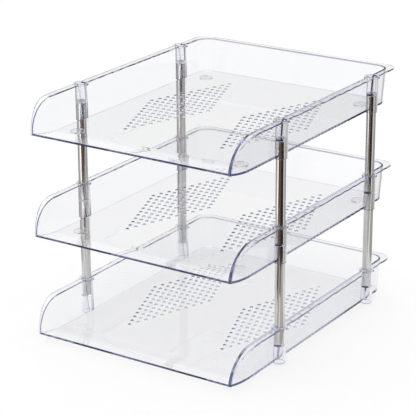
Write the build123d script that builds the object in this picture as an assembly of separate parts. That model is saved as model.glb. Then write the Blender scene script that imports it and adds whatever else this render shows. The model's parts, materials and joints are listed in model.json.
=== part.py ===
from build123d import *
from math import asin, degrees, radians, tan
import os

# The rack stands on z = 0, centred on x and y, with its open front towards -y. Lengths are in mm.

# Tiers
tier_names = ("bottom", "middle", "top")
tier_pitch = 112.0

# Tray: a moulded floor with two side walls and a back wall that lean outwards
tray_depth = 332.0
tray_height = 40.0
floor_width = 242.0
floor_thickness = 2.0
wall_thickness = 2.0
wall_draft_degrees = 4.3
wall_corner_radius = 14.0

# Raised front lip of the floor, and the side walls' swept front ends
lip_rise = 6.0
lip_run = 42.0
sweep_run = 36.0

# Rim: a flat flange that stands out along the top of the walls and narrows down their front ends
rim_thickness = 1.8
rim_side_reach = 4.5
rim_back_overhang = 5.0
rim_toe_overhang = 1.2
rim_corner_radius = 14.0

# Perforation: two lozenges of round holes in the floor
hole_diameter = 4.0
hole_step_x = 3.75
hole_step_y = 10.2
lozenge_side_margin = 20.0
lozenge_end_margin = 36.0

# Posts: bright steel rods that stand in the sockets
post_diameter = 10.5
post_chamfer = 0.4
post_spacing_x = 250.0
post_spacing_y = 190.0
back_post_inset = 52.0

# Sockets: clear collared sleeves in the side walls, open at both ends, with a partition between the posts
socket_wall = 1.4
socket_collar_reach = 1.7
socket_partition = 2.0
post_clearance = 0.1
bond_gap = 0.1

# Pads: clear round feet under the floor
pad_diameter = 15.0
pad_thickness = 2.0
pad_side_inset = 20.0
pad_front_setback = 51.0
pad_back_inset = 27.0

# How far a cutting shape runs past what it cuts
overrun = 10.0

# Places worked out from the sizes above
front_edge = -tray_depth / 2
back_edge = tray_depth / 2
wall_flare = tray_height * tan(radians(wall_draft_degrees))
wall_back = back_edge - rim_back_overhang - wall_flare
front_post_setback = tray_depth - back_post_inset - post_spacing_y
lip_start = front_edge + lip_run
lip_radius = (lip_run**2 + lip_rise**2) / (2 * lip_rise)
lip_turn = degrees(asin(lip_run / lip_radius))
sweep_end = front_edge + sweep_run
rim_side = post_spacing_x / 2 + rim_side_reach
bore_radius = post_diameter / 2 + post_clearance
socket_radius = bore_radius + socket_wall
socket_depth = (tray_height - socket_partition) / 2

# The four corners that sockets, posts and pads are named after, as signs of x and y
corners = {
    "front_left": (-1, -1),
    "front_right": (1, -1),
    "back_left": (-1, 1),
    "back_right": (1, 1),
}
standing = (Align.CENTER, Align.CENTER, Align.MIN)


def post_place(signs):
    """Where a socket or post stands, for one corner."""
    y = front_edge + front_post_setback if signs[1] < 0 else back_edge - back_post_inset
    return Pos(signs[0] * post_spacing_x / 2, y, 0)


def pad_place(signs):
    """Where a pad sits, for one corner."""
    y = front_edge + pad_front_setback if signs[1] < 0 else wall_back - pad_back_inset
    return Pos(signs[0] * (floor_width / 2 - pad_side_inset), y, 0)


def side_prism(outline):
    """A side view, drawn in y and z, carried across the whole tray."""
    return extrude(Plane.YZ * make_face(outline.edges()), rim_side + overrun, both=True)


def leaning_block(inset):
    """The block that the walls' outer or inner faces bound, open past the front and the top."""
    front = front_edge - overrun
    back = wall_back - inset
    outline = Pos(0, (front + back) / 2) * Rectangle(floor_width - 2 * inset, back - front)
    outline = fillet(outline.vertices().group_by(Axis.Y)[-1], wall_corner_radius - inset)
    return extrude(outline, tray_height + overrun, taper=-wall_draft_degrees)


def lip_arc(inset):
    """The arc that lifts the front of the floor, on its underside or its top."""
    return CenterArc((lip_start, lip_radius), lip_radius - inset, -90, -lip_turn)


def front_sweep(inset):
    """The quarter ellipse down a side wall's front end, on the rim's top or its underside."""
    rise = tray_height - lip_rise
    return EllipticalCenterArc(
        (sweep_end, lip_rise), sweep_run - inset, rise - inset, start_angle=90, arc_size=90
    )


def hole_places():
    """Centres of the holes in both lozenges, as many as fit the flat of the floor inside the margins."""
    center_x = floor_width / 4
    center_y = (lip_start + wall_back) / 2
    room_x = center_x - lozenge_side_margin
    room_y = wall_back - center_y - lozenge_end_margin
    steps = int(min(room_x / hole_step_x, room_y / hole_step_y))
    for side in (-1, 1):
        for row in range(steps + 1):
            for column in range(steps + 1):
                x = side * center_x + (column - row) * hole_step_x
                y = center_y + (column + row - steps) * hole_step_y
                yield Pos(x, y, 0)


def perforated_floor():
    under = lip_arc(0)
    top = lip_arc(floor_thickness)
    outline = under + top + Line(under @ 1, top @ 1)
    outline += Polyline(under @ 0, (back_edge, 0), (back_edge, floor_thickness), top @ 0)
    plate = side_prism(outline) & leaning_block(0)
    drill = Cylinder(hole_diameter / 2, 2 * (floor_thickness + overrun))
    return plate - [place * drill for place in hole_places()]


def walls():
    under = lip_arc(0)
    sweep = front_sweep(0)
    outline = under + sweep
    outline += Polyline(under @ 0, (back_edge, 0), (back_edge, tray_height), sweep @ 0)
    return (leaning_block(0) - leaning_block(wall_thickness)) & side_prism(outline)


def rim():
    top = front_sweep(0)
    under = front_sweep(rim_thickness)
    past = back_edge + overrun
    band = top + under + Line(top @ 1, under @ 1)
    band += Polyline(top @ 0, (past, tray_height), (past, tray_height - rim_thickness), under @ 0)
    toe = floor_width / 2 + rim_toe_overhang
    back = FilletPolyline(
        (rim_side, sweep_end),
        (rim_side, back_edge),
        (-rim_side, back_edge),
        (-rim_side, sweep_end),
        radius=rim_corner_radius,
    )
    plan = back + Line((-toe, front_edge), (toe, front_edge))
    for side in (-1, 1):
        plan += TangentArc((side * rim_side, sweep_end), (side * toe, front_edge), tangent=(0, -1))
    flange = extrude(make_face(plan.edges()), tray_height) & side_prism(band)
    return flange - leaning_block(wall_thickness)


def sleeve(gap, past):
    """The outside of a socket, with its collar level with the rim, or the larger seat that holds it."""
    body = Cylinder(socket_radius + gap, tray_height + 2 * past, align=standing)
    collar = Cylinder(
        socket_radius + socket_collar_reach + gap, rim_thickness + gap + past, align=standing
    )
    return Pos(0, 0, -past) * body + Pos(0, 0, tray_height - rim_thickness - gap) * collar


def tray():
    seat = sleeve(bond_gap, overrun)
    whole = perforated_floor() + walls() + rim()
    return whole - [post_place(signs) * seat for signs in corners.values()]


def socket():
    bore = Cylinder(bore_radius, socket_depth, align=standing)
    return sleeve(0, 0) - bore - Pos(0, 0, socket_depth + socket_partition) * bore


def post():
    """A rod from one tier's partition to the next, a clearance short of both."""
    length = tier_pitch - socket_partition - 2 * post_clearance
    bar = Cylinder(post_diameter / 2, length, align=standing)
    bar = chamfer(bar.edges().filter_by(GeomType.CIRCLE), post_chamfer)
    return Pos(0, 0, socket_depth + socket_partition + post_clearance) * bar


def pad():
    disc = Cylinder(pad_diameter / 2, pad_thickness - bond_gap, align=standing)
    return Pos(0, 0, -pad_thickness) * disc


def save(shape, name):
    export_step(shape, f"parts/{name}.step")


os.makedirs("parts", exist_ok=True)
one_tray, one_socket, one_post, one_pad = tray(), socket(), post(), pad()
for level, tier in enumerate(tier_names):
    lift = Pos(0, 0, pad_thickness + level * tier_pitch)
    save(lift * one_tray, f"{tier}_tray")
    for corner, signs in corners.items():
        save(lift * post_place(signs) * one_socket, f"{tier}_{corner}_socket")
        save(lift * pad_place(signs) * one_pad, f"{tier}_{corner}_pad")
        if tier != tier_names[-1]:
            save(lift * post_place(signs) * one_post, f"{tier}_{corner}_post")
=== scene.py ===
import json
from math import ceil, cos, radians, sin

import bpy
from mathutils import Matrix, Vector


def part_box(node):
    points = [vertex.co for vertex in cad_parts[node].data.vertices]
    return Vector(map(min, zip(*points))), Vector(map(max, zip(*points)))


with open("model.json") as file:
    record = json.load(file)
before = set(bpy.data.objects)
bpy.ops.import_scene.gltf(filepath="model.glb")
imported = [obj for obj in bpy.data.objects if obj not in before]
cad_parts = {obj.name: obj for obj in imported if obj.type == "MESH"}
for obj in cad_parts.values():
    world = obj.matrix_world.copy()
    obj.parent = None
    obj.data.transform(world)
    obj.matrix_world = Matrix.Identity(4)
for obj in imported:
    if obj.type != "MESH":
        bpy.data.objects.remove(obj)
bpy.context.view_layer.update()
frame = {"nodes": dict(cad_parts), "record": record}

# Camera: the photograph's viewpoint, in metres and degrees
camera_place = Vector((0.9774, -1.5042, 0.7759))
camera_turn = 33.36
camera_tilt = 19.94
camera_roll = -0.31
camera_lens_mm = 151.15
camera_sensor_mm = 36.0

# Plain colours
white = (1.0, 1.0, 1.0)
black = (0.0, 0.0, 0.0)

# Floor: white paper. Part of its white is a glow, which is seen and mirrored but lights nothing.
floor_half_size = 12.0
floor_tones = ((0.25, 0.25, 0.25), (0.27, 0.27, 0.27))
floor_grain = {"scale": 300.0, "detail": 5.0}
floor_roughness = 0.9
floor_specular = 0.1
floor_glow = 0.72

# Surround and light: white with a grey band round it, and one broad soft light from above on the left.
# The band fades in and out between these heights, as sines of the angle above the horizon.
band_level = 0.62
band_fade_in = (0.17, 0.28)
band_fade_out = (0.43, 0.65)
key_towards = (-0.45, 0.25, 0.86)
key_spread = 75.0
key_strength = 0.75

# Cards on the floor round the rack, which only shiny surfaces mirror: the angles that each one fills,
# counted from the camera's side towards the right, how near and how far it reaches, and its colour. They
# show to rays that have been mirrored more than this number of times.
card_height = 0.001
card_step = 5.0
card_mirrorings = 0.5
cards = {
    "front_near": {"angles": (-12, 5), "reach": (0.2, 0.43), "colour": (0.63, 0.58, 0.53)},
    "right_near": {"angles": (18, 53), "reach": (0.2, 0.43), "colour": (0.63, 0.58, 0.53)},
    "right_dark": {"angles": (5, 18), "reach": (0.33, 0.43), "colour": (0.07, 0.055, 0.05)},
    "left_near": {"angles": (-50, -36), "reach": (0.2, 0.43), "colour": (0.80, 0.77, 0.75)},
    "left_dark": {"angles": (-36, -12), "reach": (0.25, 0.43), "colour": (0.09, 0.07, 0.06)},
    "front_brown": {"angles": (-45, 5), "reach": (0.43, 1.4), "colour": (0.18, 0.116, 0.077)},
    "front_black": {"angles": (5, 53), "reach": (0.43, 1.4), "colour": (0.045, 0.035, 0.03)},
    "right_pale": {"angles": (53, 68), "reach": (0.25, 1.4), "colour": (1.2, 1.18, 1.16)},
    "right_grey": {"angles": (68, 150), "reach": (0.3, 1.4), "colour": (0.52, 0.51, 0.50)},
    "back_dark": {"angles": (210, 235), "reach": (0.3, 1.4), "colour": (0.11, 0.08, 0.065)},
    "back_grey": {"angles": (235, 265), "reach": (0.3, 1.4), "colour": (0.52, 0.51, 0.50)},
    "left_grey": {"angles": (265, 292), "reach": (0.3, 1.4), "colour": (0.79, 0.78, 0.77)},
    "left_bright": {"angles": (292, 315), "reach": (0.43, 1.4), "colour": (1.9, 1.9, 1.9)},
}

# Clear plastic: it keeps some blue on long paths, and it has a slight haze and slow waves. Its upright
# faces carry a little painted shade, so that the walls show against white. Lengths are in metres.
tray_refraction = 1.3
socket_refraction = 1.5
plastic_absorbs = 9.0
plastic_keeps = (0.0, 0.06, 0.4)
plastic_shadow = (0.992, 0.992, 0.994)
plastic_roughness = (0.0, 0.03)
plastic_haze = {"scale": 90.0, "detail": 6.0}
plastic_waves = {"scale": 14.0, "detail": 2.0, "stretch": (1.0, 0.35, 1.0)}
plastic_wave_depth = 0.00004
upright_painted_shade = (0.955, 0.957, 0.965)

# Painted shade along the plastic's edges: a navy tint, standing in for the dark edges of clear plastic,
# up to a width from an edge, uneven along it and fainter on level faces. Cosines are those between a
# face and its rounded edge. The middle of a tray, by this share of its half size, has edges only round
# the holes, and they get fainter lines.
tray_edge_width = 0.001
socket_edge_width = 0.0008
painted_edge_shade_tint = (0.03, 0.048, 0.36)
edge_cosines = (0.8, 0.99)
edge_samples = 6
edge_ripple = {"scale": 55.0, "detail": 1.0, "stretch": (0.1, 1.0, 0.3)}
edge_ripple_range = (0.42, 0.55)
edge_ripple_depth = (0.6, 1.0)
level_edge_depth = 0.4
level_edge_range = (0.93, 1.0)
middle_share = 0.87
hole_rim_depth = 0.45
hole_rim_cosines = (0.74, 0.86)
tray_half_size = tuple(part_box("top_tray")[1])

# Painted shade: a dark wavy line on the outer faces of a tray's side rims, which lie beyond this share
# of its half size. Its heights and half widths are shares of the tray's height.
rim_share = 0.997
painted_rim_shade = (0.008, 0.012, 0.07)
rim_ripple = {"scale": 55.0, "detail": 0.0, "stretch": (0.0, 1.0, 0.0)}
rim_line_heights = (0.945, 1.01)
rim_line_widths = (0.012, 0.02)

# Bright steel: fine lines along the rods, from drawing
steel_tones = ((0.58, 0.575, 0.57), (0.65, 0.645, 0.64))
steel_lines = {"scale": 900.0, "detail": 3.0, "stretch": (1.0, 1.0, 0.02)}
steel_roughness = (0.06, 0.14)
steel_line_depth = 0.00002
steel_line_strength = 0.4

# Clear soft pads with a fine matt grain
pad_tint = (0.98, 0.98, 0.985)
pad_refraction = 1.43
pad_roughness = (0.03, 0.12)
pad_grain = {"scale": 1800.0, "detail": 4.0}
pad_grain_depth = 0.00003
pad_grain_strength = 0.5

# Noise lies mostly between these values
noise_spread = (0.3, 0.7)

# Light paths inside the clear plastic are long, because its edges carry light
most_bounces = 48


def material(name):
    """A new node material: returns it, its nodes, its links and its Principled shader."""
    mat = bpy.data.materials.new(name)
    mat.use_nodes = True
    nodes = mat.node_tree.nodes
    return mat, nodes, mat.node_tree.links, nodes["Principled BSDF"]


def noise(nodes, links, scale, detail, stretch=(1.0, 1.0, 1.0)):
    """Noise over the object's own coordinates, stretched along an axis where its stretch is small."""
    coords = nodes.new("ShaderNodeTexCoord")
    mapping = nodes.new("ShaderNodeMapping")
    mapping.inputs["Scale"].default_value = stretch
    texture = nodes.new("ShaderNodeTexNoise")
    texture.inputs["Scale"].default_value = scale
    texture.inputs["Detail"].default_value = detail
    links.new(coords.outputs["Object"], mapping.inputs["Vector"])
    links.new(mapping.outputs["Vector"], texture.inputs["Vector"])
    return texture.outputs["Fac"]


def ranged(nodes, links, value, low, high, start=noise_spread[0], end=noise_spread[1]):
    """A value that runs from low to high while the one given runs from start to end."""
    spread = nodes.new("ShaderNodeMapRange")
    spread.inputs["From Min"].default_value = start
    spread.inputs["From Max"].default_value = end
    spread.inputs["To Min"].default_value = low
    spread.inputs["To Max"].default_value = high
    links.new(value, spread.inputs["Value"])
    return spread.outputs["Result"]


def bump(nodes, links, value, distance, strength=1.0):
    """A normal that follows a pattern's relief."""
    relief = nodes.new("ShaderNodeBump")
    relief.inputs["Distance"].default_value = distance
    relief.inputs["Strength"].default_value = strength
    links.new(value, relief.inputs["Height"])
    return relief.outputs["Normal"]


def number_math(nodes, links, operation, first, second=0.0):
    """The result of an operation on two inputs, each a socket or a number."""
    node = nodes.new("ShaderNodeMath")
    node.operation = operation
    for socket, value in zip(node.inputs, (first, second)):
        if isinstance(value, float):
            socket.default_value = value
        else:
            links.new(value, socket)
    return node.outputs["Value"]


def vector_math(nodes, links, operation, first, second=None):
    """The result of an operation on one or two vectors, the second a socket or plain numbers."""
    node = nodes.new("ShaderNodeVectorMath")
    node.operation = operation
    links.new(first, node.inputs[0])
    if isinstance(second, tuple):
        node.inputs[1].default_value = second
    elif second:
        links.new(second, node.inputs[1])
    return node.outputs["Value" if operation == "DOT_PRODUCT" else "Vector"]


def axes(nodes, links, vector):
    """A vector's parts, by the names X, Y and Z."""
    node = nodes.new("ShaderNodeSeparateXYZ")
    links.new(vector, node.inputs["Vector"])
    return node.outputs


def blended(nodes, links, factor, first, second):
    """A colour between two, the first a socket or plain numbers."""
    mix = nodes.new("ShaderNodeMix")
    mix.data_type = "RGBA"
    if isinstance(first, tuple):
        mix.inputs["A"].default_value = (*first, 1.0)
    else:
        links.new(first, mix.inputs["A"])
    mix.inputs["B"].default_value = (*second, 1.0)
    links.new(factor, mix.inputs["Factor"])
    return mix.outputs["Result"]


def show_either(nodes, links, factor, first, second):
    """Give the surface the first shader where the factor is 0 and the second where it is 1."""
    mix = nodes.new("ShaderNodeMixShader")
    links.new(factor, mix.inputs["Fac"])
    links.new(first.outputs["BSDF"], mix.inputs[1])
    links.new(second.outputs["BSDF"], mix.inputs[2])
    links.new(mix.outputs["Shader"], nodes["Material Output"].inputs["Surface"])


def level_faces(nodes, links):
    """1 on level faces and 0 on upright ones."""
    flat = nodes.new("ShaderNodeNewGeometry")
    return number_math(nodes, links, "ABSOLUTE", axes(nodes, links, flat.outputs["True Normal"])["Z"])


def tray_shares(nodes, links):
    """How far out a point lies along each axis, as shares of a tray's half size."""
    coords = nodes.new("ShaderNodeTexCoord")
    away = vector_math(nodes, links, "ABSOLUTE", coords.outputs["Object"])
    return axes(nodes, links, vector_math(nodes, links, "DIVIDE", away, tray_half_size))


def painted_edge_shade(nodes, links, width):
    """How much painted navy shade a face gets: up to 1 along the edges, less along the rims of holes,
    and 0 elsewhere.
    """
    rounded = nodes.new("ShaderNodeBevel")
    rounded.samples = edge_samples
    rounded.inputs["Radius"].default_value = width
    flat = nodes.new("ShaderNodeNewGeometry")
    alike = vector_math(
        nodes, links, "DOT_PRODUCT", rounded.outputs["Normal"], flat.outputs["True Normal"]
    )
    edges = ranged(nodes, links, alike, 1.0, 0.0, *edge_cosines)
    fading = ranged(nodes, links, level_faces(nodes, links), 1.0, level_edge_depth, *level_edge_range)
    ripple = noise(nodes, links, **edge_ripple)
    ripple = ranged(nodes, links, ripple, *edge_ripple_depth, *edge_ripple_range)
    shares = tray_shares(nodes, links)
    farthest = number_math(nodes, links, "MAXIMUM", shares["X"], shares["Y"])
    outer = number_math(nodes, links, "GREATER_THAN", farthest, middle_share)
    for factor in (fading, ripple, outer):
        edges = number_math(nodes, links, "MULTIPLY", edges, factor)
    hole_rims = ranged(nodes, links, alike, hole_rim_depth, 0.0, *hole_rim_cosines)
    return number_math(nodes, links, "MAXIMUM", edges, hole_rims)


def rim_line(nodes, links):
    """1 along a wavy line of painted shade on the outer faces of a tray's side rims, and 0 elsewhere."""
    outer = number_math(nodes, links, "GREATER_THAN", tray_shares(nodes, links)["X"], rim_share)
    coords = nodes.new("ShaderNodeTexCoord")
    height = axes(nodes, links, coords.outputs["Generated"])["Z"]
    wave = ranged(nodes, links, noise(nodes, links, **rim_ripple), *rim_line_heights)
    gap = number_math(nodes, links, "SUBTRACT", height, wave)
    gap = number_math(nodes, links, "ABSOLUTE", gap)
    line = ranged(nodes, links, gap, 1.0, 0.0, *rim_line_widths)
    return number_math(nodes, links, "MULTIPLY", outer, line)


def clear_plastic(name, refraction, edge_width, has_rim):
    """Clear moulded plastic: colourless through its faces, with painted navy shade along its edges."""
    mat, nodes, links, shader = material(name)
    # Painted shade: upright faces a little darker than level ones, so that the walls show against white
    tone = blended(nodes, links, level_faces(nodes, links), upright_painted_shade, white)
    # Painted shade: navy along the edges and round the holes, where clear plastic looks dark
    tone = blended(nodes, links, painted_edge_shade(nodes, links, edge_width), tone, painted_edge_shade_tint)
    if has_rim:
        # Painted shade: a dark wavy line along the outer face of each side rim
        tone = blended(nodes, links, rim_line(nodes, links), tone, painted_rim_shade)
    links.new(tone, shader.inputs["Base Color"])
    shader.inputs["Transmission Weight"].default_value = 1.0
    shader.inputs["IOR"].default_value = refraction
    haze = noise(nodes, links, **plastic_haze)
    links.new(ranged(nodes, links, haze, *plastic_roughness), shader.inputs["Roughness"])
    waves = noise(nodes, links, **plastic_waves)
    links.new(bump(nodes, links, waves, plastic_wave_depth), shader.inputs["Normal"])
    inside = nodes.new("ShaderNodeVolumeAbsorption")
    inside.inputs["Color"].default_value = (*plastic_keeps, 1.0)
    inside.inputs["Density"].default_value = plastic_absorbs
    links.new(inside.outputs["Volume"], nodes["Material Output"].inputs["Volume"])
    path = nodes.new("ShaderNodeLightPath")
    passing = nodes.new("ShaderNodeBsdfTransparent")
    passing.inputs["Color"].default_value = (*plastic_shadow, 1.0)
    show_either(nodes, links, path.outputs["Is Shadow Ray"], shader, passing)
    return mat


def bright_steel(name):
    """Polished steel rod with fine drawing lines along its length."""
    mat, nodes, links, shader = material(name)
    shader.inputs["Metallic"].default_value = 1.0
    lines = noise(nodes, links, **steel_lines)
    relief = bump(nodes, links, lines, steel_line_depth, steel_line_strength)
    links.new(blended(nodes, links, lines, *steel_tones), shader.inputs["Base Color"])
    links.new(ranged(nodes, links, lines, *steel_roughness), shader.inputs["Roughness"])
    links.new(relief, shader.inputs["Normal"])
    return mat


def soft_pad(name):
    """Clear soft rubber with a fine matt grain."""
    mat, nodes, links, shader = material(name)
    grain = noise(nodes, links, **pad_grain)
    relief = bump(nodes, links, grain, pad_grain_depth, pad_grain_strength)
    shader.inputs["Base Color"].default_value = (*pad_tint, 1.0)
    shader.inputs["Transmission Weight"].default_value = 1.0
    shader.inputs["IOR"].default_value = pad_refraction
    links.new(ranged(nodes, links, grain, *pad_roughness), shader.inputs["Roughness"])
    links.new(relief, shader.inputs["Normal"])
    return mat


def camera_sees(nodes, links):
    """1 for rays from the camera, from a mirror or through plastic, and 0 for rays that gather light."""
    path = nodes.new("ShaderNodeLightPath")
    total = path.outputs["Is Camera Ray"]
    for kind in ("Is Glossy Ray", "Is Transmission Ray"):
        total = number_math(nodes, links, "MAXIMUM", total, path.outputs[kind])
    return total


def studio_floor():
    """White paper under the rack, which takes its shadow."""
    mesh = bpy.data.meshes.new("studio_floor")
    h = floor_half_size
    mesh.from_pydata([(-h, -h, 0), (h, -h, 0), (h, h, 0), (-h, h, 0)], [], [(0, 1, 2, 3)])
    floor = bpy.data.objects.new("studio_floor", mesh)
    bpy.context.scene.collection.objects.link(floor)
    mat, nodes, links, shader = material("floor_paper")
    grain = noise(nodes, links, **floor_grain)
    links.new(blended(nodes, links, grain, *floor_tones), shader.inputs["Base Color"])
    shader.inputs["Roughness"].default_value = floor_roughness
    shader.inputs["Specular IOR Level"].default_value = floor_specular
    shader.inputs["Emission Color"].default_value = (*white, 1.0)
    glow = number_math(nodes, links, "MULTIPLY", camera_sees(nodes, links), floor_glow)
    links.new(glow, shader.inputs["Emission Strength"])
    mesh.materials.append(mat)


def studio_world():
    """A white surround with a grey band above the horizon."""
    world = bpy.data.worlds.new("studio")
    world.use_nodes = True
    nodes, links = world.node_tree.nodes, world.node_tree.links
    coords = nodes.new("ShaderNodeTexCoord")
    height = axes(nodes, links, coords.outputs["Generated"])["Z"]
    below = ranged(nodes, links, height, 1.0, band_level, *band_fade_in)
    above = ranged(nodes, links, height, band_level, 1.0, *band_fade_out)
    background = nodes["Background"]
    background.inputs["Color"].default_value = (*white, 1.0)
    links.new(number_math(nodes, links, "MAXIMUM", below, above), background.inputs["Strength"])
    bpy.context.scene.world = world


def key_light():
    """One broad soft light from above."""
    light = bpy.data.lights.new("key_light", "SUN")
    light.angle = radians(key_spread)
    light.energy = key_strength
    lamp = bpy.data.objects.new("key_light", light)
    lamp.rotation_euler = Vector(key_towards).to_track_quat("Z", "Y").to_euler()
    bpy.context.scene.collection.objects.link(lamp)


def mirrored_only(name, colour):
    """A plain colour that shows only when mirrored, so that no card is seen straight through plastic."""
    mat, nodes, links, shader = material(name)
    shader.inputs["Base Color"].default_value = (*black, 1.0)
    shader.inputs["Specular IOR Level"].default_value = 0.0
    shader.inputs["Emission Color"].default_value = (*colour, 1.0)
    shader.inputs["Emission Strength"].default_value = 1.0
    path = nodes.new("ShaderNodeLightPath")
    mirrored = number_math(nodes, links, "GREATER_THAN", path.outputs["Glossy Depth"], card_mirrorings)
    unseen = nodes.new("ShaderNodeBsdfTransparent")
    show_either(nodes, links, mirrored, unseen, shader)
    return mat


def studio_card(name, angles, reach, colour):
    """A card lying on the floor, as a sector of a ring, that only mirrors and gloss pick up."""
    first = camera_turn - 90 + angles[0]
    steps = ceil((angles[1] - angles[0]) / card_step)
    verts, faces = [], []
    for i in range(steps + 1):
        turn = radians(first + (angles[1] - angles[0]) * i / steps)
        for radius in reach:
            verts.append((radius * cos(turn), radius * sin(turn), card_height))
    for i in range(steps):
        faces.append((2 * i, 2 * i + 1, 2 * i + 3, 2 * i + 2))
    mesh = bpy.data.meshes.new(name)
    mesh.from_pydata(verts, [], faces)
    card = bpy.data.objects.new(name, mesh)
    bpy.context.scene.collection.objects.link(card)
    mesh.materials.append(mirrored_only(name, colour))
    card.visible_camera = False
    card.visible_diffuse = False
    card.visible_shadow = False


def photo_camera():
    """The camera that took the photograph."""
    data = bpy.data.cameras.new("photo_camera")
    data.lens = camera_lens_mm
    data.sensor_width = camera_sensor_mm
    camera = bpy.data.objects.new("photo_camera", data)
    turn = Matrix.Rotation(radians(camera_turn), 4, "Z")
    tilt = Matrix.Rotation(radians(90 - camera_tilt), 4, "X")
    roll = Matrix.Rotation(radians(camera_roll), 4, "Z")
    camera.matrix_world = Matrix.Translation(camera_place) @ turn @ tilt @ roll
    bpy.context.scene.collection.objects.link(camera)
    bpy.context.scene.camera = camera


photo_camera()
studio_world()
studio_floor()
key_light()
for name, card in cards.items():
    studio_card(name + "_card", **card)

finishes = {
    "clear_tray": clear_plastic("tray_plastic", tray_refraction, tray_edge_width, has_rim=True),
    "clear_socket": clear_plastic("socket_plastic", socket_refraction, socket_edge_width, has_rim=False),
    "chrome_post": bright_steel("post_steel"),
    "clear_pad": soft_pad("pad_rubber"),
}
for part in frame["record"]["subparts"]:
    frame["nodes"][part["node"]].material_slots[0].material = finishes[part["material_slot"]]

cycles = bpy.context.scene.cycles
cycles.max_bounces = most_bounces
cycles.transmission_bounces = most_bounces
cycles.glossy_bounces = most_bounces
cycles.transparent_max_bounces = most_bounces
bpy.context.scene.view_settings.view_transform = "Standard"
